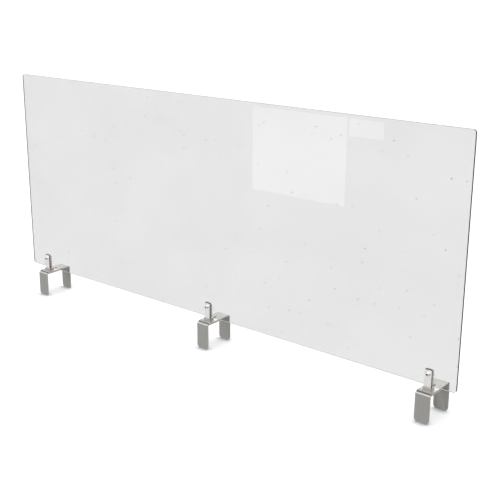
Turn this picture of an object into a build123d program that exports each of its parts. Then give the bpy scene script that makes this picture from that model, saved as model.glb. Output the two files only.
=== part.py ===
from build123d import *
import os

# Clear desk privacy panel that sits on top of a partition on three adjustable hook clamps.
# Millimetres. X runs along the panel, Y from its front to its back and Z up. The origin is
# under the middle of the object, on the surface that the clamps' legs stand on.

# Clear sheet
panel_width = 1524.0
panel_height = 609.6
panel_thick = 6.0
panel_corner_r = 8.0
panel_edge_break = 0.5
panel_hole_r = 3.25

# Clamps, each two bent hooks, one plate sliding under the other
clamp_names = ["left", "middle", "right"]
clamp_pitch = 690.0
clamp_width = 40.0
clamp_depth = 96.0
sheet = 3.0
lower_plate_top = 75.0
slide_gap = 0.1
outer_bend_r = 4.0
inner_bend_r = 1.0
leg_corner_r = 11.0
plate_corner_r = 1.5
upper_plate_setback = 5.0
lower_plate_length = 62.0
edge_break = 0.3

# Lock screw, its washer and the slot that it moves along
lock_y_from_front = 40.5
slot_width = 5.5
slot_front_from_front = 37.5
hook_travel = 18.0
lock_screw_length = 7.0
button_head_r = 4.75
button_head_height = 2.75
button_socket = 3.0

# Riser block and the upright channel that grips the panel
jaw_from_front = 19.5
jaw_width = 19.0
jaw_wall = 2.5
jaw_height = 43.0
jaw_corner_r = 2.0
jaw_bend_r = 1.5
liner = 1.0
liner_stand = 1.5
block_width = 23.0
block_depth = 17.0
block_height = 7.5
block_edge = 0.8

# Jaw screw
jaw_screw_below_top = 10.0
jaw_screw_length = 16.0
cap_head_r = 4.25
cap_head_height = 5.0
cap_socket = 4.0
nut_flange_r = 4.35
nut_flange = 2.0
nut_barrel_r = 3.2

# Shared by the M5 screws
screw_r = 2.5
screw_tip_chamfer = 0.5
socket_share = 0.55  # of the head's height
button_dome_share = 0.75
cap_rounding = 0.6
running_gap = 0.05
clearance = 0.25
washer_r = 5.0
washer_thick = 1.0

# Countersunk M4 screws that hold block and channel from below
foot_screw_r = 2.0
foot_head_r = 4.0
foot_screw_length = 12.5
foot_screw_spacing = 10.0
foot_socket = 2.5

# Worked out from the sizes above
front_y = -clamp_depth / 2
rear_y = clamp_depth / 2
upper_plate_bottom = lower_plate_top + slide_gap
upper_plate_top = upper_plate_bottom + sheet
jaw_front_y = front_y + jaw_from_front
jaw_depth = panel_thick + 2 * (liner + jaw_wall)
jaw_rear_y = jaw_front_y + jaw_depth
panel_y = jaw_front_y + jaw_depth / 2
block_top = upper_plate_top + block_height
jaw_top = block_top + jaw_height
panel_bottom = block_top + jaw_wall + liner
jaw_screw_z = jaw_top - jaw_screw_below_top
lock_y = front_y + lock_y_from_front

from_below = (Align.CENTER, Align.CENTER, Align.MIN)
from_above = (Align.CENTER, Align.CENTER, Align.MAX)
facing_front = Rotation(90, 0, 0)


def edge_nearest(solid, axis, point):
    return solid.edges().filter_by(axis).sort_by_distance(point)[0]


def upright_hole(x, y, radius):
    return Pos(x, y, 0) * Cylinder(radius, 4 * lower_plate_top)


def cross_hole(z, radius):
    return Pos(0, panel_y, z) * facing_front * Cylinder(radius, 2 * clamp_depth)


def bent_hook(outer_y, plate_end_y, top_z):
    # A leg down to the floor and a plate from its top, with a bend between them.
    inward = sheet if plate_end_y > outer_y else -sheet
    inner_y = outer_y + inward
    under_z = top_z - sheet
    outline = Polyline(
        (outer_y, 0), (outer_y, top_z), (plate_end_y, top_z),
        (plate_end_y, under_z), (inner_y, under_z), (inner_y, 0), close=True,
    )
    hook = extrude(make_face(Plane.YZ * outline), clamp_width / 2, both=True)
    hook = fillet(edge_nearest(hook, Axis.X, (0, outer_y, top_z)), outer_bend_r)
    hook = fillet(edge_nearest(hook, Axis.X, (0, inner_y, under_z)), inner_bend_r)
    plate_corners = [
        edge_nearest(hook, Axis.Z, (side * clamp_width / 2, plate_end_y, top_z)) for side in (-1, 1)
    ]
    hook = fillet(plate_corners, plate_corner_r)
    hook = fillet(hook.edges().filter_by(Axis.Y).group_by(Axis.Z)[0], leg_corner_r)
    return hook


def front_hook():
    hook = bent_hook(front_y, front_y + lower_plate_length, lower_plate_top)
    return hook - upright_hole(0, lock_y, screw_r + running_gap)


def rear_hook():
    hook = bent_hook(rear_y, front_y + upper_plate_setback, upper_plate_top)
    slot_length = lock_y_from_front - slot_front_from_front + hook_travel + slot_width / 2
    slot_middle = front_y + slot_front_from_front + slot_length / 2
    slot = SlotOverall(slot_length, slot_width, rotation=90)
    hook -= Pos(0, slot_middle, upper_plate_bottom - sheet) * extrude(slot, 3 * sheet)
    countersink = Cone(foot_head_r, foot_screw_r, foot_head_r - foot_screw_r, align=from_below)
    for x in foot_screw_places():
        hook -= upright_hole(x, panel_y, foot_screw_r + running_gap)
        hook -= Pos(x, panel_y, upper_plate_bottom) * countersink
    return hook


def foot_screw_places():
    return (-foot_screw_spacing / 2, foot_screw_spacing / 2)


def riser_block():
    block = Box(block_width, block_depth, block_height, align=from_below)
    block = chamfer(block.edges().filter_by(Axis.Z), block_edge)
    block = chamfer(block.edges().group_by(Axis.Z)[-1], block_edge / 2)
    block = Pos(0, panel_y, upper_plate_top) * block
    for x in foot_screw_places():
        block -= upright_hole(x, panel_y, foot_screw_r + clearance)
    return block


def upright_u(wall, outer_depth, bottom_z, top_z, bend_r):
    # U that opens upwards: two leaves and the web between them.
    outer = Box(jaw_width, outer_depth, top_z - bottom_z, align=from_below)
    gap = Box(2 * jaw_width, outer_depth - 2 * wall, 2 * jaw_height, align=from_below)
    u = outer - Pos(0, 0, wall) * gap
    u = fillet(u.edges().filter_by(Axis.X).group_by(Axis.Z)[0], bend_r)
    u = fillet(u.edges().filter_by(Axis.Y).group_by(Axis.Z)[-1], jaw_corner_r)
    return Pos(0, panel_y, bottom_z) * u


def jaw_channel():
    channel = upright_u(jaw_wall, jaw_depth, block_top, jaw_top, jaw_bend_r)
    front_half = Pos(0, jaw_front_y, jaw_screw_z) * facing_front
    channel -= front_half * Cylinder(screw_r + clearance, 2 * jaw_wall + liner)
    rear_half = Pos(0, jaw_rear_y, jaw_screw_z) * facing_front
    channel -= rear_half * Cylinder(nut_barrel_r, 2 * jaw_wall + liner)
    for x in foot_screw_places():
        channel -= upright_hole(x, panel_y, foot_screw_r + running_gap)
    return channel


def channel_liner():
    # The lining stands a little above the leaves, so that the sheet never meets their edges.
    lining_depth = panel_thick + 2 * liner
    lining = upright_u(liner, lining_depth, block_top + jaw_wall, jaw_top + liner_stand, edge_break)
    return lining - cross_hole(jaw_screw_z, panel_hole_r)


def clear_panel():
    panel = Box(panel_width, panel_thick, panel_height, align=from_below)
    panel = fillet(panel.edges().filter_by(Axis.Y), panel_corner_r)
    faces = panel.faces().filter_by(Axis.Y)
    panel = chamfer(faces.edges(), panel_edge_break)
    panel = Pos(0, panel_y, panel_bottom) * panel
    for x in clamp_places():
        panel -= Pos(x, 0, 0) * cross_hole(jaw_screw_z, panel_hole_r)
    return panel


def clamp_places():
    return (-clamp_pitch, 0, clamp_pitch)


def hex_socket(across, depth):
    return extrude(RegularPolygon(across / 2, 6, major_radius=False), -depth)


def screw(head, head_height, socket, shank_length):
    # Head up, with its underside at the origin and its shank down.
    socket_depth = head_height * socket_share
    cut = Pos(0, 0, head_height) * hex_socket(socket, socket_depth)
    shank = Cylinder(screw_r, shank_length, align=from_above)
    shank = chamfer(shank.edges().group_by(Axis.Z)[0], screw_tip_chamfer)
    return head - cut + shank


def jaw_screw():
    head = Cylinder(cap_head_r, cap_head_height, align=from_below)
    head = fillet(head.edges().group_by(Axis.Z)[-1], cap_rounding)
    place = Pos(0, jaw_front_y - washer_thick, jaw_screw_z) * facing_front
    return place * screw(head, cap_head_height, cap_socket, jaw_screw_length)


def washer():
    ring = Cylinder(washer_r, washer_thick, align=from_below)
    ring -= Cylinder(screw_r + clearance, 3 * washer_thick)
    return chamfer(ring.edges().group_by(Axis.Z)[-1], washer_thick / 6)


def jaw_washer():
    return Pos(0, jaw_front_y, jaw_screw_z) * facing_front * washer()


def jaw_nut():
    # Round nut pressed into the rear leaf, flange outside.
    barrel = Cylinder(nut_barrel_r, jaw_wall, align=from_below)
    flange = Cylinder(nut_flange_r, nut_flange, align=from_above)
    nut = barrel + flange - Cylinder(screw_r + running_gap, 4 * jaw_wall)
    nut = chamfer(nut.edges().group_by(Axis.Z)[0].sort_by(SortBy.RADIUS)[-1], edge_break)
    return Pos(0, jaw_rear_y, jaw_screw_z) * facing_front * nut


def lock_screw():
    head = Cylinder(button_head_r, button_head_height, align=from_below)
    head = fillet(head.edges().group_by(Axis.Z)[-1], button_head_height * button_dome_share)
    place = Pos(0, lock_y, upper_plate_top + washer_thick)
    return place * screw(head, button_head_height, button_socket, lock_screw_length)


def lock_washer():
    return Pos(0, lock_y, upper_plate_top) * washer()


def foot_screws():
    head_depth = foot_head_r - foot_screw_r
    head = Cone(foot_head_r, foot_screw_r, head_depth, align=from_below)
    one = head + Cylinder(foot_screw_r, foot_screw_length, align=from_below)
    one -= Pos(0, 0, head_depth / 2) * hex_socket(foot_socket, head_depth)
    return [Pos(x, panel_y, upper_plate_bottom) * one for x in foot_screw_places()]


def export_node(shapes, name):
    node = Compound(children=shapes) if len(shapes) > 1 else shapes[0]
    export_step(node, f"parts/{name}.step")


clamp_pieces = {
    "front_hook": front_hook,
    "rear_hook": rear_hook,
    "riser_block": riser_block,
    "jaw_channel": jaw_channel,
    "channel_liner": channel_liner,
    "jaw_screw": jaw_screw,
    "jaw_washer": jaw_washer,
    "jaw_nut": jaw_nut,
    "lock_screw": lock_screw,
    "lock_washer": lock_washer,
    "foot_screws": foot_screws,
}

os.makedirs("parts", exist_ok=True)
export_node([clear_panel()], "clear_panel")
for piece, build in clamp_pieces.items():
    made = build()
    solids = made if isinstance(made, list) else [made]
    for clamp, x in zip(clamp_names, clamp_places()):
        export_node([Pos(x, 0, 0) * solid for solid in solids], f"{piece}_{clamp}")

print("panel bottom", panel_bottom, "jaw top", jaw_top, "screw height", jaw_screw_z)
print("gap between legs", clamp_depth - 2 * sheet, "closing to", clamp_depth - 2 * sheet - hook_travel)
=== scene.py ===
import math

import bpy
from mathutils import Matrix, Quaternion, Vector


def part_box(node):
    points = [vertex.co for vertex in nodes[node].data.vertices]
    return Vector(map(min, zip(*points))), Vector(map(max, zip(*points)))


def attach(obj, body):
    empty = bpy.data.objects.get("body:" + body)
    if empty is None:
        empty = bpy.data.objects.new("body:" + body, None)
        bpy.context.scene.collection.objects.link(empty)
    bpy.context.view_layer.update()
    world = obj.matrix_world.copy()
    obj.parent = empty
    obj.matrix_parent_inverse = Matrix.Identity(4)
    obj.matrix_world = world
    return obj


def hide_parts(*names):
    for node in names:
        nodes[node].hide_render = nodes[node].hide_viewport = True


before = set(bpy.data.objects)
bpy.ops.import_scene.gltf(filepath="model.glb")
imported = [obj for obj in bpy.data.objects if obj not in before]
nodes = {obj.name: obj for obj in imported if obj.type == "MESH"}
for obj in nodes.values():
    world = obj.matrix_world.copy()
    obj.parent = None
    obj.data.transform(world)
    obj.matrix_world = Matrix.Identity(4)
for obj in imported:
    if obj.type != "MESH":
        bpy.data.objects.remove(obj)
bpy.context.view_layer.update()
clamps = ["left", "middle", "right"]
rootBody = "panel_and_rear_hooks"
clampX = {clamp: sum(corner.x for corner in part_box(f"rear_hook_{clamp}")) / 2 for clamp in clamps}
print("frame loaded,", len(nodes), "nodes")

cameraLook = {
    "azimuth": 39.23,  # degrees, from straight in front towards the right end
    "elevation": 17.05,
    "roll": 0.37,
    "distance": 2.4566,
    "aim": (0.1472, -0.022, 0.311),
    "lens": 67.43,
    "farClip": 200,
}


def makeCamera():
    a, e = math.radians(cameraLook["azimuth"]), math.radians(cameraLook["elevation"])
    back = Vector((math.sin(a) * math.cos(e), -math.cos(a) * math.cos(e), math.sin(e)))
    bpy.ops.object.camera_add()
    cam = bpy.context.object
    cam.name = "Camera"
    cam.data.lens = cameraLook["lens"]
    cam.location = Vector(cameraLook["aim"]) + back * cameraLook["distance"]
    cam.rotation_mode = "QUATERNION"
    turn = Quaternion((0, 0, 1), math.radians(cameraLook["roll"]))
    cam.rotation_quaternion = (-back).to_track_quat("-Z", "Y") @ turn
    cam.data.clip_end = cameraLook["farClip"]
    bpy.context.scene.camera = cam


# Floor, room and lights
studio = {
    "floorSize": 60,
    "floorTone": (0.93, 0.93, 0.935),
    "floorRough": 0.9,
    "floorLift": 0.1,  # keeps the paper's far shadows faint
    "paintedShadeReach": 0.022,  # how far out the painted contact shadow darkens the paper round what stands on it
    "paintedShadeTone": (0.38, 0.39, 0.43),
    "paintedShadeFull": 0.45,  # how open the paper still is where the painted contact shadow is darkest
    "paintedShadeSamples": 8,
    "sunPower": 0.6,
    "sunSpread": 75,  # degrees across, a wide soft source
    "sunLean": (28, -14),  # from straight overhead: towards the back, towards the left
    "fillLow": (0.5, 0.5, 0.505),  # what lights matt surfaces, level with them
    "fillHigh": (1.2, 1.2, 1.215),  # and overhead
    "fillTop": 0.75,  # height in the sky where overhead begins
    "glossLow": (0.72, 0.71, 0.70),  # what shiny surfaces see below the horizon
    "glossHigh": (2.6, 2.6, 2.6),  # and overhead
    "glossTop": 0.4,
    "darkSide": (0.75, 0.25, -0.6),  # an unlit corner, low on the right
    "darkTone": (0.3, 0.3, 0.305),
    "darkReach": (0.25, 0.6),  # where the corner starts and where it is full
}

softCards = {  # soft boxes that only show as reflections: centre, width, height, power
    "windowCard": ((-0.64, -1.3, 0.27), 0.48, 0.36, 0.75),
    "sideWindowCard": ((-0.31, -1.3, 0.415), 0.16, 0.07, 0.05),
}


def newNodes(tree):
    tree.nodes.clear()

    def add(kind, **values):
        node = tree.nodes.new(kind)
        for name, value in values.items():
            if hasattr(node, name):
                setattr(node, name, value)
            else:
                node.inputs[name.replace("_", " ")].default_value = value
        return node

    return add


def rampBetween(add, low, lowAt, high, highAt):
    ramp = add("ShaderNodeValToRGB")
    first, last = ramp.color_ramp.elements
    first.position, last.position = lowAt, highAt
    first.color, last.color = (*low, 1), (*high, 1)
    return ramp


def makeWorld():
    # White to look at; matt and shiny surfaces each see their own gradient
    world = bpy.data.worlds.new("Studio")
    bpy.context.scene.world = world
    world.use_nodes = True
    tree = world.node_tree
    link = tree.links.new
    add = newNodes(tree)
    coords = add("ShaderNodeTexCoord")
    split = add("ShaderNodeSeparateXYZ")
    link(coords.outputs["Generated"], split.inputs[0])
    fillTone = rampBetween(add, studio["fillLow"], 0, studio["fillHigh"], studio["fillTop"])
    link(split.outputs["Z"], fillTone.inputs[0])
    fill = add("ShaderNodeBackground")
    link(fillTone.outputs[0], fill.inputs["Color"])
    glossTone = rampBetween(add, studio["glossLow"], 0, studio["glossHigh"], studio["glossTop"])
    link(split.outputs["Z"], glossTone.inputs[0])
    towardsDark = add("ShaderNodeVectorMath", operation="DOT_PRODUCT")
    towardsDark.inputs[1].default_value = studio["darkSide"]
    link(coords.outputs["Generated"], towardsDark.inputs[0])
    darkStart, darkFull = studio["darkReach"]
    darkShare = rampBetween(add, (0, 0, 0), darkStart, (1, 1, 1), darkFull)
    link(towardsDark.outputs["Value"], darkShare.inputs[0])
    roomTone = add("ShaderNodeMix", data_type="RGBA")
    link(darkShare.outputs[0], roomTone.inputs["Factor"])
    link(glossTone.outputs[0], roomTone.inputs["A"])
    roomTone.inputs["B"].default_value = (*studio["darkTone"], 1)
    gloss = add("ShaderNodeBackground")
    link(roomTone.outputs["Result"], gloss.inputs["Color"])
    backdrop = add("ShaderNodeBackground")
    backdrop.inputs["Color"].default_value = (1, 1, 1, 1)
    path = add("ShaderNodeLightPath")
    lightMix = add("ShaderNodeMixShader")
    link(path.outputs["Is Glossy Ray"], lightMix.inputs[0])
    link(fill.outputs[0], lightMix.inputs[1])
    link(gloss.outputs[0], lightMix.inputs[2])
    seen = add("ShaderNodeMath", operation="MAXIMUM")
    link(path.outputs["Is Camera Ray"], seen.inputs[0])
    link(path.outputs["Is Transmission Ray"], seen.inputs[1])
    mix = add("ShaderNodeMixShader")
    link(seen.outputs[0], mix.inputs[0])
    link(lightMix.outputs[0], mix.inputs[1])
    link(backdrop.outputs[0], mix.inputs[2])
    out = add("ShaderNodeOutputWorld")
    link(mix.outputs[0], out.inputs[0])


def makeStage():
    # Paper with a faint glow of its own and painted contact shadow close to what stands on it, one soft
    # sun and the soft boxes
    bpy.ops.object.select_all(action="DESELECT")
    bpy.ops.mesh.primitive_plane_add(size=studio["floorSize"])
    floor = bpy.context.object
    floor.name = "floor"
    paper, link, add, shader = newMaterial("paleFloor")
    # Painted contact shadow: an occlusion probe darkens the paper's colour and its glow near what stands
    # on it
    corner = add("ShaderNodeAmbientOcclusion", samples=studio["paintedShadeSamples"],
                 Distance=studio["paintedShadeReach"])
    paintedContactShade = rampBetween(add, studio["paintedShadeTone"], studio["paintedShadeFull"], (1, 1, 1), 1)
    link(corner.outputs["AO"], paintedContactShade.inputs[0])
    tone = add("ShaderNodeMix", data_type="RGBA", blend_type="MULTIPLY")
    tone.inputs["Factor"].default_value = 1
    tone.inputs["A"].default_value = (*studio["floorTone"], 1)
    link(paintedContactShade.outputs[0], tone.inputs["B"])
    link(tone.outputs["Result"], shader.inputs["Base Color"])
    link(paintedContactShade.outputs[0], shader.inputs["Emission Color"])
    shader.inputs["Emission Strength"].default_value = studio["floorLift"]
    shader.inputs["Roughness"].default_value = studio["floorRough"]
    shader.inputs["Specular IOR Level"].default_value = 0
    floor.data.materials.append(paper)
    floor.visible_glossy = False
    bpy.ops.object.light_add(type="SUN", location=(0, 0, 3))
    sun = bpy.context.object
    sun.name = "softSun"
    sun.data.energy = studio["sunPower"]
    sun.data.angle = math.radians(studio["sunSpread"])
    back, left = (math.radians(v) for v in studio["sunLean"])
    sun.rotation_euler = (-back, left, 0)
    for name, (centre, width, height, power) in softCards.items():
        bpy.ops.object.light_add(type="AREA", location=centre)
        card = bpy.context.object
        card.name = name
        card.data.shape = "RECTANGLE"
        card.data.size, card.data.size_y = width, height
        card.data.energy = power
        card.rotation_euler = (math.radians(90), 0, 0)
        card.visible_camera = False
        card.visible_transmission = False
        card.visible_diffuse = False
    print("camera, room and lights are set")


# Finishes
noiseLook = {
    "roughness": 0.6,
    "usual": (0.3, 0.7),  # nearly all of the noise lies between these
}


def newMaterial(name):
    material = bpy.data.materials.new(name)
    material.use_nodes = True
    add = newNodes(material.node_tree)
    shader = add("ShaderNodeBsdfPrincipled")
    out = add("ShaderNodeOutputMaterial")
    material.node_tree.links.new(shader.outputs[0], out.inputs["Surface"])
    return material, material.node_tree.links.new, add, shader


def noiseAlong(add, link, stretch, detail):
    coords = add("ShaderNodeTexCoord")
    place = add("ShaderNodeMapping")
    place.inputs["Scale"].default_value = stretch
    noise = add("ShaderNodeTexNoise", Scale=1, Detail=detail, Roughness=noiseLook["roughness"])
    link(coords.outputs["Object"], place.inputs[0])
    link(place.outputs[0], noise.inputs["Vector"])
    return noise


def addRelief(add, link, shader, height, strength, depth):
    bump = add("ShaderNodeBump", Strength=strength, Distance=depth)
    link(height, bump.inputs["Height"])
    link(bump.outputs[0], shader.inputs["Normal"])


def varyRoughness(add, link, shader, source, low, high):
    span = add("ShaderNodeMapRange")
    span.inputs["From Min"].default_value, span.inputs["From Max"].default_value = noiseLook["usual"]
    span.inputs["To Min"].default_value = low
    span.inputs["To Max"].default_value = high
    link(source, span.inputs["Value"])
    link(span.outputs[0], shader.inputs["Roughness"])


def shade(tone, factor):
    return tuple(min(1, v * factor) for v in tone)


brushedLook = {
    "hookSteel": {"tone": (0.385, 0.385, 0.373), "rough": (0.48, 0.62), "contrast": 0.16},
    "blockSteel": {"tone": (0.5, 0.45, 0.43), "rough": (0.3, 0.45), "contrast": 0.15},
    "headSteel": {"tone": (0.68, 0.67, 0.66), "rough": (0.46, 0.58), "contrast": 0.08},
    "screwSteel": {"tone": (0.8, 0.79, 0.775), "rough": (0.34, 0.46), "contrast": 0.08},
}

brushing = {  # marks per metre across, and along the leg and the plate
    "streaks": (2400, 50, 50),
    "streakDetail": 5,
    "mottle": (700, 60, 60),
    "mottleDetail": 3,
    "mottleShare": 0.25,
    "relief": (0.25, 0.00008),  # strength, depth
}


def brushedSteel(name):
    look = brushedLook[name]
    material, link, add, shader = newMaterial(name)
    streaks = noiseAlong(add, link, brushing["streaks"], brushing["streakDetail"])
    mottle = noiseAlong(add, link, brushing["mottle"], brushing["mottleDetail"])
    blend = add("ShaderNodeMix", data_type="FLOAT")
    blend.inputs["Factor"].default_value = brushing["mottleShare"]
    link(streaks.outputs["Fac"], blend.inputs["A"])
    link(mottle.outputs["Fac"], blend.inputs["B"])
    dark, light = shade(look["tone"], 1 - look["contrast"]), shade(look["tone"], 1 + look["contrast"])
    darkAt, lightAt = noiseLook["usual"]
    tones = rampBetween(add, dark, darkAt, light, lightAt)
    link(blend.outputs["Result"], tones.inputs[0])
    link(tones.outputs[0], shader.inputs["Base Color"])
    shader.inputs["Metallic"].default_value = 1
    varyRoughness(add, link, shader, mottle.outputs["Fac"], *look["rough"])
    addRelief(add, link, shader, streaks.outputs["Fac"], *brushing["relief"])
    return material


grainLooks = {
    "cutEdgePaintedShade": {  # sheared end of the strip, with short marks across it; its darkness is partly the real sheared steel and partly painted shade for the shadowed seam where the plates step
        "stretch": (1400, 1400, 260), "detail": 3, "metal": 0.9, "rough": (0.5, 0.5),
        "dark": (0.155, 0.135, 0.13), "light": (0.25, 0.225, 0.22), "span": (0.3, 0.7),
        "relief": (0.4, 0.0001),
    },
    "stripSide": {  # rolled side of the strip, smooth and a little warmer
        "stretch": (60, 60, 900), "detail": 3, "metal": 0.5, "rough": (0.4, 0.55),
        "dark": (0.46, 0.42, 0.39), "light": (0.66, 0.62, 0.58), "span": (0.35, 0.7),
    },
    "silverFinish": {
        "stretch": (900, 900, 300), "detail": 3, "metal": 0.9, "rough": (0.28, 0.42),
        "dark": (0.84, 0.83, 0.81), "light": (0.97, 0.965, 0.955), "span": (0.3, 0.6),
        "relief": (0.15, 0.00005),
    },
    # hex socket walls and floor painted near black as the shade inside the recess
    "paintedShadeSocket": {
        "stretch": (1200, 1200, 1200), "detail": 2, "metal": 0, "rough": (0.7, 0.9),
        "dark": (0.004, 0.004, 0.004), "light": (0.016, 0.015, 0.014), "span": (0.3, 0.7),
        "shine": 0.2,
    },
    "linerPads": {  # black pad behind the front leaf, pale pad before the rear one
        "stretch": (700, 700, 700), "detail": 2, "metal": 0, "rough": (0.6, 0.8),
        "dark": (0.016, 0.016, 0.017), "light": (0.035, 0.035, 0.037), "span": (0.3, 0.7),
        "rearDark": (0.72, 0.72, 0.71), "rearLight": (0.8, 0.8, 0.79), "rearSpan": (0.3, 0.7),
        "relief": (0.3, 0.0001),
    },
    "leafSidesPaintedShade": {  # cut sides of the jaw's leaves: the front leaf's sides painted dark as shade, the rear leaf's sides silver
        "stretch": (500, 500, 60), "detail": 3, "metal": 0.9, "rough": (0.5, 0.5),
        "dark": (0.13, 0.105, 0.1), "light": (0.3, 0.26, 0.25), "span": (0.35, 0.7),
        "rearDark": (0.84, 0.83, 0.81), "rearLight": (0.97, 0.965, 0.955), "rearSpan": (0.3, 0.6),
        "relief": (0.4, 0.0001),
    },
}


def grainyFinish(name, middleY=None):
    # With middleY, what is behind the sheet's middle has a tone of its own
    look = grainLooks[name]
    material, link, add, shader = newMaterial(name)
    grain = noiseAlong(add, link, look["stretch"], look["detail"]).outputs["Fac"]
    darkAt, lightAt = look["span"]
    tones = rampBetween(add, look["dark"], darkAt, look["light"], lightAt)
    link(grain, tones.inputs[0])
    if middleY is None:
        link(tones.outputs[0], shader.inputs["Base Color"])
    else:
        darkAt, lightAt = look["rearSpan"]
        rearTones = rampBetween(add, look["rearDark"], darkAt, look["rearLight"], lightAt)
        link(grain, rearTones.inputs[0])
        coords = add("ShaderNodeTexCoord")
        split = add("ShaderNodeSeparateXYZ")
        behind = add("ShaderNodeMath", operation="GREATER_THAN")
        behind.inputs[1].default_value = middleY
        tone = add("ShaderNodeMix", data_type="RGBA")
        link(coords.outputs["Object"], split.inputs[0])
        link(split.outputs["Y"], behind.inputs[0])
        link(behind.outputs[0], tone.inputs["Factor"])
        link(tones.outputs[0], tone.inputs["A"])
        link(rearTones.outputs[0], tone.inputs["B"])
        link(tone.outputs["Result"], shader.inputs["Base Color"])
    shader.inputs["Metallic"].default_value = look["metal"]
    if "shine" in look:
        shader.inputs["Specular IOR Level"].default_value = look["shine"]
    varyRoughness(add, link, shader, grain, *look["rough"])
    if "relief" in look:
        addRelief(add, link, shader, grain, *look["relief"])
    return material


clearLook = {
    "tint": (0.652, 0.652, 0.644),
    "speck": (0.12, 0.118, 0.115),
    "specksPerMetre": 14,
    "speckSize": 0.0024,
    "faintest": 0.25,  # no speck is quite invisible
    "hazeTint": (0.629, 0.628, 0.621),
    "hazeStretch": (3.2, 0, 4.5),
    "hazeDetail": 2,
    "hazeSpan": (0.35, 0.6),
    "index": 1.49,
}


def clearSheet():
    # Clear acrylic, a little smoky, with a faint haze and a few specks of dust
    material, link, add, shader = newMaterial("clearAcrylic")
    haze = noiseAlong(add, link, clearLook["hazeStretch"], clearLook["hazeDetail"])
    hazeAt, clearAt = clearLook["hazeSpan"]
    tint = rampBetween(add, clearLook["hazeTint"], hazeAt, clearLook["tint"], clearAt)
    link(haze.outputs["Fac"], tint.inputs[0])
    coords = add("ShaderNodeTexCoord")
    split = add("ShaderNodeSeparateXYZ")
    flat = add("ShaderNodeCombineXYZ")
    cells = add("ShaderNodeTexVoronoi", voronoi_dimensions="2D", Scale=clearLook["specksPerMetre"])
    link(coords.outputs["Object"], split.inputs[0])
    link(split.outputs["X"], flat.inputs["X"])
    link(split.outputs["Z"], flat.inputs["Y"])
    link(flat.outputs[0], cells.inputs["Vector"])
    speckReach = clearLook["speckSize"] * clearLook["specksPerMetre"]
    spot = add("ShaderNodeMapRange", interpolation_type="SMOOTHSTEP")  # soft round dot
    spot.inputs["From Max"].default_value = speckReach
    spot.inputs["To Min"].default_value = 1
    spot.inputs["To Max"].default_value = 0
    link(cells.outputs["Distance"], spot.inputs["Value"])
    strength = add("ShaderNodeSeparateColor")
    link(cells.outputs["Color"], strength.inputs[0])
    fade = add("ShaderNodeMapRange")
    fade.inputs["To Min"].default_value = clearLook["faintest"]
    link(strength.outputs[0], fade.inputs["Value"])
    share = add("ShaderNodeMath", operation="MULTIPLY")
    link(spot.outputs[0], share.inputs[0])
    link(fade.outputs[0], share.inputs[1])
    dusty = add("ShaderNodeMix", data_type="RGBA")
    dusty.inputs["B"].default_value = (*clearLook["speck"], 1)
    link(share.outputs[0], dusty.inputs["Factor"])
    link(tint.outputs[0], dusty.inputs["A"])
    link(dusty.outputs["Result"], shader.inputs["Base Color"])
    shader.inputs["Transmission Weight"].default_value = 1
    shader.inputs["IOR"].default_value = clearLook["index"]
    shader.inputs["Roughness"].default_value = 0
    return material


edgeBands = {"stretch": (9, 260, 9), "detail": 2, "span": (0.35, 0.65)}


def sheetEdge(name, low, high, rough, shine):
    # Sheet edge with painted light and shade in its tone: dark as painted shade on the top and end edges,
    # light as painted light on the bottom edge
    material, link, add, shader = newMaterial(name)
    bands = noiseAlong(add, link, edgeBands["stretch"], edgeBands["detail"])
    lowAt, highAt = edgeBands["span"]
    tones = rampBetween(add, low, lowAt, high, highAt)
    link(bands.outputs["Fac"], tones.inputs[0])
    link(tones.outputs[0], shader.inputs["Base Color"])
    varyRoughness(add, link, shader, bands.outputs["Fac"], *rough)
    shader.inputs["IOR"].default_value = clearLook["index"]
    shader.inputs["Specular IOR Level"].default_value = shine
    return material


# Shaping helpers
shaping = {
    "plainSides": 48,
    "boreSides": 32,
    "footSides": 24,
    "samePlace": 1e-5,  # metres
    "smoothAngle": 35,
    "sharpAngle": 40,
    "faceWeight": 100,  # flat faces win over the narrow ones beside them
}


def freshPiece(name, size=(1, 1, 1)):
    piece = bpy.context.object
    piece.name = name
    piece.scale = size
    bpy.ops.object.transform_apply(location=True, rotation=True, scale=True)
    return piece


def boxPiece(name, low, high):
    bpy.ops.object.select_all(action="DESELECT")
    size = [high[i] - low[i] for i in range(3)]
    centre = [(high[i] + low[i]) / 2 for i in range(3)]
    bpy.ops.mesh.primitive_cube_add(size=1, location=centre)
    return freshPiece(name, size)


def roundPiece(name, radius, low, high, sides=shaping["plainSides"], centre=(0, 0)):
    # Upright cylinder from one height to the other
    bpy.ops.object.select_all(action="DESELECT")
    place = (*centre, (low + high) / 2)
    bpy.ops.mesh.primitive_cylinder_add(vertices=sides, radius=radius, depth=high - low, location=place)
    return freshPiece(name)


def makeActive(piece):
    if bpy.context.mode != "OBJECT":
        bpy.ops.object.mode_set(mode="OBJECT")
    bpy.ops.object.select_all(action="DESELECT")
    piece.select_set(True)
    bpy.context.view_layer.objects.active = piece


def pick(piece, kind, wanted):
    # Selects the corners, edges or faces that the test accepts, and stays in edit mode
    makeActive(piece)
    bpy.ops.object.mode_set(mode="EDIT")
    bpy.ops.mesh.select_mode(type=kind)
    bpy.ops.mesh.select_all(action="DESELECT")
    bpy.ops.object.mode_set(mode="OBJECT")
    corners = piece.data.vertices
    if kind == "VERT":
        for corner in corners:
            corner.select = wanted(corner.co)
    elif kind == "EDGE":
        for edge in piece.data.edges:
            edge.select = wanted(*(corners[i].co for i in edge.vertices))
    else:
        for face in piece.data.polygons:
            face.select = wanted(face.center, face.normal)
    bpy.ops.object.mode_set(mode="EDIT")


def done():
    bpy.ops.object.mode_set(mode="OBJECT")


def near(a, b):
    return abs(a - b) < shaping["samePlace"]


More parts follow.
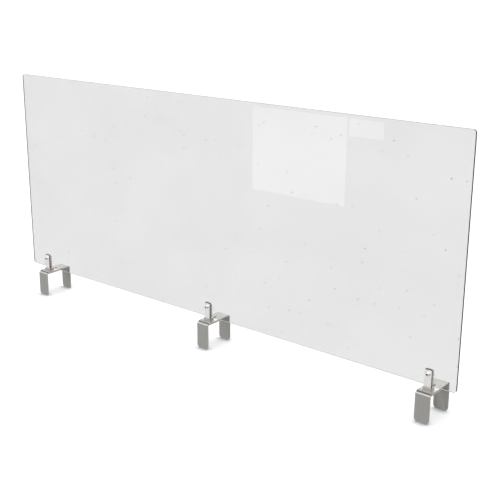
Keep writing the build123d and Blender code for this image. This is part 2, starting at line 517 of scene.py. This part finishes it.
def cut(piece, cutter):
    hole = piece.modifiers.new("cut", "BOOLEAN")
    hole.operation = "DIFFERENCE"
    hole.solver = "EXACT"
    hole.object = cutter
    makeActive(piece)
    bpy.ops.object.modifier_apply(modifier=hole.name)
    bpy.data.objects.remove(cutter)


def smoothOver(piece):
    # Round parts shade smoothly and flat faces stay flat
    makeActive(piece)
    bpy.ops.object.shade_smooth_by_angle(angle=math.radians(shaping["smoothAngle"]))
    level = piece.modifiers.new("level", "WEIGHTED_NORMAL")
    level.mode = "FACE_AREA"
    level.weight = shaping["faceWeight"]
    level.keep_sharp = True
    bpy.ops.object.modifier_apply(modifier=level.name)


def soften(piece, width, angle=shaping["sharpAngle"], segments=2):
    # Small rounding on every sharp edge, then smooth shading
    edge = piece.modifiers.new("soften", "BEVEL")
    edge.width = width
    edge.segments = segments
    edge.limit_method = "ANGLE"
    edge.angle_limit = math.radians(angle)
    makeActive(piece)
    bpy.ops.object.modifier_apply(modifier=edge.name)
    smoothOver(piece)


def turnToFront(piece, place):
    # What points up then points to the front
    piece.rotation_euler = (math.radians(90), 0, 0)
    piece.location = place
    makeActive(piece)
    bpy.ops.object.transform_apply(location=True, rotation=True, scale=True)


def handOut(piece, kind, ownBody, finish=None):
    # One copy at each clamp, in place of the plain CAD piece
    if finish:
        piece.data.materials.append(finish)
    for clamp in clamps:
        copy = piece.copy()
        copy.data = piece.data.copy()
        copy.name = f"{kind}.{clamp}"
        copy.data.transform(Matrix.Translation((clampX[clamp], 0, 0)))
        bpy.context.scene.collection.objects.link(copy)
        node = f"{kind}_{clamp}"
        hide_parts(node)
        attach(copy, node if ownBody else rootBody)
    bpy.data.objects.remove(piece)


# The clear sheet
sheetForm = {
    "cornerRadius": 0.008,
    "cornerSteps": 10,
    "edgeBreak": 0.0005,
    "holeRadius": 0.00325,
    "drillReach": 0.1,
}

edgeLooks = {  # darkest tone, lightest tone, roughness, shine; the tones are painted shade on the top and end edges and painted light on the bottom edge
    "paintedShadeEndEdge": ((0.008, 0.008, 0.009), (0.022, 0.022, 0.023), (0.3, 0.4), 0.3),
    "paintedShadeTopEdge": ((0.03, 0.03, 0.03), (0.07, 0.07, 0.07), (0.3, 0.4), 0.15),
    "paintedLightBottomEdge": ((0.42, 0.41, 0.39), (0.55, 0.54, 0.52), (0.3, 0.4), 0.5),
}


def makeSheet():
    low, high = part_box("clear_panel")
    sheet = boxPiece("clearSheet", low, high)
    pick(sheet, "EDGE", lambda a, b: near(a.x, b.x) and near(a.z, b.z))
    bpy.ops.mesh.bevel(offset=sheetForm["cornerRadius"], segments=sheetForm["cornerSteps"], affect="EDGES")
    pick(sheet, "EDGE", lambda a, b: near(a.y, b.y))
    bpy.ops.mesh.bevel(offset=sheetForm["edgeBreak"], segments=2, affect="EDGES")
    done()
    headLow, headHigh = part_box("jaw_screw_middle")
    holeHeight = (headLow.z + headHigh.z) / 2
    drillReach = sheetForm["drillReach"]
    for clamp in clamps:
        drill = roundPiece("drill", sheetForm["holeRadius"], -drillReach, drillReach,
                           shaping["boreSides"])
        turnToFront(drill, (clampX[clamp], low.y, holeHeight))
        cut(sheet, drill)
    sheet.data.materials.append(clearSheet())
    for name, look in edgeLooks.items():
        sheet.data.materials.append(sheetEdge(name, *look))
    reach = sheetForm["cornerRadius"]
    # Rim faces get the painted edge tones by the way they face: ends and top painted dark, bottom painted
    # light
    for face in sheet.data.polygons:
        inRim = (face.center.x < low.x + reach or face.center.x > high.x - reach
                 or face.center.z < low.z + reach or face.center.z > high.z - reach)
        if inRim and abs(face.normal.y) < 0.5:
            onEnd = abs(face.normal.x) > 0.6
            face.material_index = 1 if onEnd else (2 if face.normal.z > 0 else 3)
    smoothOver(sheet)
    sheet.visible_shadow = False
    sheet.visible_diffuse = False
    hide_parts("clear_panel")
    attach(sheet, rootBody)
    print("clear sheet made,", len(sheet.data.polygons), "faces")


# The two bent hooks
hookForm = {
    "thickness": 0.003,
    "bendRadius": 0.0025,  # at the middle of the strip
    "bendSteps": 8,
    "legCorner": 0.011,
    "plateCorner": 0.0015,
    "cornerSteps": (10, 4),  # leg, plate
    "edgeSoftness": 0.0003,
    "slotWidth": 0.0055,
    "slotAhead": 0.003,  # from the lock screw's axis to where the slot's front end is
    "slotLength": 0.02375,
    "screwHole": 0.00255,
    "footHole": 0.00205,
    "footHead": 0.004,
    "footSpacing": 0.01,
    "cutterReach": 0.01,  # how far a cutter passes the plate
}


def bentStrip(name, node, side):
    # side is -1 for the front hook and +1 for the rear one; the strip starts as its plate
    low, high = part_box(node)
    half = hookForm["thickness"] / 2
    bend = hookForm["bendRadius"]
    plateZ = high.z - half
    legY = (low.y + half) if side < 0 else (high.y - half)
    freeY = high.y if side < 0 else low.y
    bendY = legY - side * bend
    width = high.x - low.x
    bpy.ops.object.select_all(action="DESELECT")
    bpy.ops.mesh.primitive_plane_add(size=1, location=(0, (freeY + bendY) / 2, plateZ))
    strip = freshPiece(name, (width, abs(freeY - bendY), 1))
    pick(strip, "EDGE", lambda a, b: near(a.y, bendY) and near(b.y, bendY))
    bpy.ops.mesh.spin(steps=hookForm["bendSteps"], angle=math.radians(90) * side,
                      center=(0, bendY, plateZ - bend), axis=(1, 0, 0))
    pick(strip, "EDGE", lambda a, b: near(a.z, plateZ - bend) and near(b.z, plateZ - bend))
    bpy.ops.mesh.extrude_region_move(TRANSFORM_OT_translate={"value": (0, 0, bend - plateZ)})
    legSteps, plateSteps = hookForm["cornerSteps"]
    pick(strip, "VERT", lambda v: near(v.z, 0))
    bpy.ops.mesh.bevel(offset=hookForm["legCorner"], segments=legSteps, affect="VERTICES")
    pick(strip, "VERT", lambda v: near(v.y, freeY))
    bpy.ops.mesh.bevel(offset=hookForm["plateCorner"], segments=plateSteps, affect="VERTICES")
    bpy.ops.mesh.select_all(action="SELECT")
    bpy.ops.mesh.remove_doubles(threshold=1e-6)
    bpy.ops.mesh.normals_make_consistent(inside=False)
    done()
    strip.data.materials.append(hookSteel)
    strip.data.materials.append(edgeSteelPaintedShade)
    strip.data.materials.append(sideSteel)
    wall = strip.modifiers.new("wall", "SOLIDIFY")
    wall.thickness = hookForm["thickness"]
    wall.offset = 0
    wall.use_even_offset = True
    wall.material_offset_rim = 1
    makeActive(strip)
    bpy.ops.object.modifier_apply(modifier=wall.name)
    # Rims that face sideways take the lighter side finish; the other rims keep the darker end finish,
    # partly painted shade
    for face in strip.data.polygons:
        if face.material_index == 1 and abs(face.normal.x) > 0.7:
            face.material_index = 2
    return strip


def slotCutter(frontEnd, height):
    radius, reach = hookForm["slotWidth"] / 2, hookForm["cutterReach"]
    cutter = roundPiece("slotCutter", radius, height - reach, height + reach, shaping["boreSides"],
                        (0, frontEnd + radius))
    pick(cutter, "VERT", lambda v: v.y > frontEnd + radius and not near(v.y, frontEnd + radius))
    stretch = hookForm["slotLength"] - hookForm["slotWidth"]
    bpy.ops.transform.translate(value=(0, stretch, 0))
    done()
    return cutter


def footCutters(sheetY, under):
    # Drill and countersink for each of the two screws from below
    hole, head, reach = hookForm["footHole"], hookForm["footHead"], hookForm["cutterReach"]
    sides = shaping["footSides"]
    for side in (-1, 1):
        x = side * hookForm["footSpacing"] / 2
        yield roundPiece("footDrill", hole, under - reach, under + 2 * reach, sides, (x, sheetY))
        bpy.ops.object.select_all(action="DESELECT")
        depth = head - hole
        bpy.ops.mesh.primitive_cone_add(vertices=sides, radius1=head, radius2=hole, depth=depth,
                                        location=(x, sheetY, under + depth / 2))
        yield freshPiece("footSink")


def makeHooks():
    screwLow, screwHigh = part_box("lock_screw_middle")
    lockY = (screwLow.y + screwHigh.y) / 2
    front = bentStrip("frontHook", "front_hook_middle", -1)
    top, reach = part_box("front_hook_middle")[1].z, hookForm["cutterReach"]
    cut(front, roundPiece("drill", hookForm["screwHole"], top - reach, top + reach,
                          shaping["boreSides"], (0, lockY)))
    soften(front, hookForm["edgeSoftness"])
    handOut(front, "front_hook", True)
    rear = bentStrip("rearHook", "rear_hook_middle", 1)
    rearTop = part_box("rear_hook_middle")[1].z
    cut(rear, slotCutter(lockY - hookForm["slotAhead"], rearTop))
    sheetLow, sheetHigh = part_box("clear_panel")
    under = rearTop - hookForm["thickness"]
    for cutter in footCutters((sheetLow.y + sheetHigh.y) / 2, under):
        cut(rear, cutter)
    soften(rear, hookForm["edgeSoftness"])
    handOut(rear, "rear_hook", False)
    print("hooks bent")


# The riser block, the jaw channel and its liner
jawForm = {
    "wall": 0.0025,
    "linerWall": 0.001,
    "bend": 0.0015,
    "linerBend": 0.0003,
    "topCorner": 0.002,
    "bendSteps": 5,
    "topSteps": 6,
    "softness": 0.00025,
    "blockSoftness": 0.00012,
    "linerSoftness": 0.00015,
    "drillPast": 0.005,
    "blockChamfer": 0.0008,
    "blockTop": 0.0004,
    "screwHole": 0.00275,
    "nutHole": 0.0032,
    "linerHole": 0.00325,
}


def makeBlock():
    low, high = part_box("riser_block_middle")
    block = boxPiece("riserBlock", low, high)
    pick(block, "EDGE", lambda a, b: not near(a.z, b.z))
    bpy.ops.mesh.bevel(offset=jawForm["blockChamfer"], segments=1, affect="EDGES")
    pick(block, "EDGE", lambda a, b: near(a.z, high.z) and near(b.z, high.z))
    bpy.ops.mesh.bevel(offset=jawForm["blockTop"], segments=1, affect="EDGES")
    done()
    for cutter in footCutters((low.y + high.y) / 2, low.z - hookForm["thickness"]):
        cut(block, cutter)
    soften(block, jawForm["blockSoftness"])
    handOut(block, "riser_block", False, brushedSteel("blockSteel"))


def uChannel(name, node, wall, bend):
    low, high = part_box(node)
    channel = boxPiece(name, low, high)
    pick(channel, "EDGE", lambda a, b: near(a.z, low.z) and near(b.z, low.z) and near(a.y, b.y))
    bpy.ops.mesh.bevel(offset=bend, segments=jawForm["bendSteps"], affect="EDGES")
    done()
    gapLow = (low.x - wall, low.y + wall, low.z + wall)
    gapHigh = (high.x + wall, high.y - wall, high.z + wall)
    cut(channel, boxPiece("gap", gapLow, gapHigh))
    pick(channel, "EDGE", lambda a, b: near(a.z, high.z) and near(b.z, high.z) and near(a.x, b.x)
         and near(abs(a.x), high.x))
    bpy.ops.mesh.bevel(offset=jawForm["topCorner"], segments=jawForm["topSteps"], affect="EDGES")
    done()
    return channel


def crossDrill(radius, fromY, toY, height):
    drill = roundPiece("drill", radius, 0, toY - fromY, shaping["boreSides"])
    turnToFront(drill, (0, toY, height))
    return drill


def makeJaw():
    low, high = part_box("jaw_channel_middle")
    screwLow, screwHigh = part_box("jaw_screw_middle")
    height = (screwLow.z + screwHigh.z) / 2
    middle = (low.y + high.y) / 2
    channel = uChannel("jawChannel", "jaw_channel_middle", jawForm["wall"], jawForm["bend"])
    past = jawForm["drillPast"]
    cut(channel, crossDrill(jawForm["screwHole"], low.y - past, middle, height))
    cut(channel, crossDrill(jawForm["nutHole"], middle, high.y + past, height))
    channel.data.materials.append(silver)
    channel.data.materials.append(grainyFinish("leafSidesPaintedShade", middle))
    # The channel's end faces take the leaf-side finish, painted shade on the front leaf
    for face in channel.data.polygons:
        if abs(face.normal.x) > 0.7 and abs(face.center.x) > high.x - 1e-4:
            face.material_index = 1
    soften(channel, jawForm["softness"])
    handOut(channel, "jaw_channel", False)
    liner = uChannel("channelLiner", "channel_liner_middle", jawForm["linerWall"], jawForm["linerBend"])
    cut(liner, crossDrill(jawForm["linerHole"], low.y, high.y, height))
    soften(liner, jawForm["linerSoftness"])
    handOut(liner, "channel_liner", False, grainyFinish("linerPads", middle))
    print("block, jaw and liner made")


# Screws, washers and nuts
screwForm = {
    "jaw": {"head": 0.00425, "tall": 0.005, "shank": 0.0025, "long": 0.016, "round": 0.0006,
            "roundSteps": 3, "socket": 0.004, "knurl": 0.96, "sides": 60},
    "lock": {"head": 0.00475, "tall": 0.00275, "shank": 0.0025, "long": 0.007, "round": 0.00206,
             "roundSteps": 8, "socket": 0.003, "knurl": 0, "sides": 48},
    "socketShare": 0.55,
    "insideShare": 0.95,  # faces nearer the axis than this belong to the socket
    "tip": 0.0005,
    "softness": 0.00012,
    "washer": {"radius": 0.005, "bore": 0.00275, "thick": 0.001, "softness": 0.00015},
    "nut": {"flange": 0.00435, "thick": 0.002, "barrel": 0.0032, "barrelLong": 0.0025,
            "bore": 0.00255, "softness": 0.0003},
}


def makeScrew(kind, finish):
    # Head up, the underside of the head at the origin
    form = screwForm[kind]
    tall = form["tall"]
    screw = roundPiece(kind + "Screw", form["head"], 0, tall, form["sides"])
    pick(screw, "FACE", lambda centre, normal: normal.z < -0.9)
    bpy.ops.mesh.inset(thickness=form["head"] - form["shank"])
    bpy.ops.mesh.extrude_region_move(TRANSFORM_OT_translate={"value": (0, 0, -form["long"])})
    pick(screw, "EDGE", lambda a, b: near(a.z, -form["long"]) and near(b.z, -form["long"]))
    bpy.ops.mesh.bevel(offset=screwForm["tip"], segments=1, affect="EDGES")
    pick(screw, "EDGE", lambda a, b: near(a.z, tall) and near(b.z, tall))
    bpy.ops.mesh.bevel(offset=form["round"], segments=form["roundSteps"], affect="EDGES")
    if form["knurl"]:
        step = math.tau / form["sides"]

        def inGroove(v):
            onSide = near(v.x ** 2 + v.y ** 2, form["head"] ** 2) and v.z > -1e-6
            return onSide and round(math.atan2(v.y, v.x) / step) % 2 == 1

        pick(screw, "VERT", inGroove)
        bpy.ops.transform.resize(value=(form["knurl"], form["knurl"], 1), center_override=(0, 0, 0))
    done()
    hexRadius = form["socket"] / 2 / math.cos(math.radians(30))
    depth = tall * screwForm["socketShare"]
    cut(screw, roundPiece("hexKey", hexRadius, tall - depth, tall + 0.001, 6))
    screw.data.materials.append(finish)
    screw.data.materials.append(socketPaintedShade)
    # Faces inside the hex socket get the painted shade
    for face in screw.data.polygons:
        inside = math.hypot(face.center.x, face.center.y) < hexRadius * screwForm["insideShare"]
        if inside and 0 < face.center.z < tall - 1e-5:
            face.material_index = 1
    soften(screw, screwForm["softness"], angle=50)
    return screw


def makeWasher(name):
    form = screwForm["washer"]
    ring = roundPiece(name, form["radius"], 0, form["thick"])
    pick(ring, "FACE", lambda centre, normal: abs(normal.z) > 0.9)
    bpy.ops.mesh.inset(thickness=form["radius"] - form["bore"], use_individual=True)
    bpy.ops.mesh.bridge_edge_loops()
    done()
    soften(ring, form["softness"])
    return ring


def makeNut():
    # The flange below the origin's plane, the barrel above it
    form = screwForm["nut"]
    nut = roundPiece("jawNut", form["flange"], -form["thick"], 0)
    pick(nut, "FACE", lambda centre, normal: normal.z > 0.9)
    bpy.ops.mesh.inset(thickness=form["flange"] - form["barrel"])
    bpy.ops.mesh.extrude_region_move(TRANSFORM_OT_translate={"value": (0, 0, form["barrelLong"])})
    done()
    past = form["barrelLong"] * 2
    cut(nut, roundPiece("drill", form["bore"], -past, past, shaping["boreSides"]))
    soften(nut, form["softness"])
    return nut


def makeFasteners():
    channelLow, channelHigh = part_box("jaw_channel_middle")
    jawLow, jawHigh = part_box("jaw_screw_middle")
    height = (jawLow.z + jawHigh.z) / 2
    thick = screwForm["washer"]["thick"]
    screw = makeScrew("jaw", brushedSteel("headSteel"))
    turnToFront(screw, (0, channelLow.y - thick, height))
    handOut(screw, "jaw_screw", True)
    ring = makeWasher("jawWasher")
    turnToFront(ring, (0, channelLow.y, height))
    handOut(ring, "jaw_washer", True, screwSteel)
    nut = makeNut()
    turnToFront(nut, (0, channelHigh.y, height))
    handOut(nut, "jaw_nut", False, screwSteel)
    lockLow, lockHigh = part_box("lock_screw_middle")
    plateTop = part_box("rear_hook_middle")[1].z
    lockY = (lockLow.y + lockHigh.y) / 2
    screw = makeScrew("lock", screwSteel)
    screw.data.transform(Matrix.Translation((0, lockY, plateTop + thick)))
    handOut(screw, "lock_screw", True)
    ring = makeWasher("lockWasher")
    ring.data.transform(Matrix.Translation((0, lockY, plateTop)))
    handOut(ring, "lock_washer", True, screwSteel)
    for clamp in clamps:  # inside the block, so the plain ones stay
        foot = nodes[f"foot_screws_{clamp}"]
        foot.data.materials.clear()
        foot.data.materials.append(screwSteel)
    print("screws, washers and nuts made")


makeCamera()
makeWorld()
makeStage()
bpy.context.scene.view_settings.view_transform = "Standard"
hookSteel = brushedSteel("hookSteel")
edgeSteelPaintedShade = grainyFinish("cutEdgePaintedShade")
sideSteel = grainyFinish("stripSide")
screwSteel = brushedSteel("screwSteel")
socketPaintedShade = grainyFinish("paintedShadeSocket")
silver = grainyFinish("silverFinish")
print("shared finishes ready")
makeSheet()
makeHooks()
makeBlock()
makeJaw()
makeFasteners()
